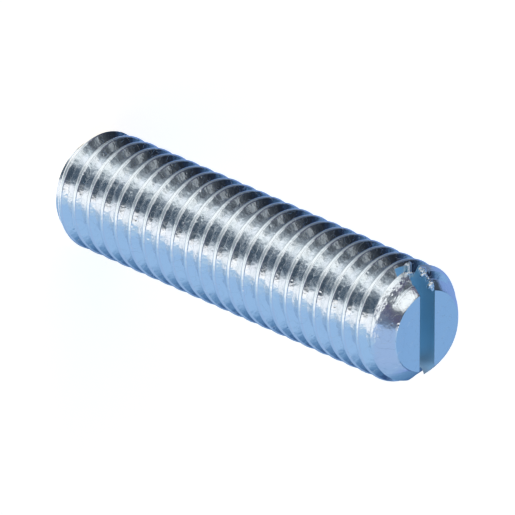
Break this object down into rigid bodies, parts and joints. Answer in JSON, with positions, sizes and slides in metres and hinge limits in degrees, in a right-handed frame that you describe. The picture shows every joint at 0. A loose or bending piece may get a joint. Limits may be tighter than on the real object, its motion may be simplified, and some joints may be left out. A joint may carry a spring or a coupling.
{
  "type": "threaded rod",
  "caption": "Short zinc plated steel rod, threaded over its whole length, with chamfered flat points and a screwdriver slot sawn across one end.",
  "frame": {"origin": "centre of the flat on the plain point, on which the rod stands", "axes": "+Z along the rod's axis, from the plain point to the slotted point; the screwdriver slot runs along Y"},
  "size_m": [0.003, 0.003, 0.012],
  "materials": {
    "zinc_plate": "bright zinc plate with a clear blue passivation, on rolled steel"
  },
  "bodies": {
    "root": {"threaded_rod": "zinc_plate"}
  },
  "joints": []
}
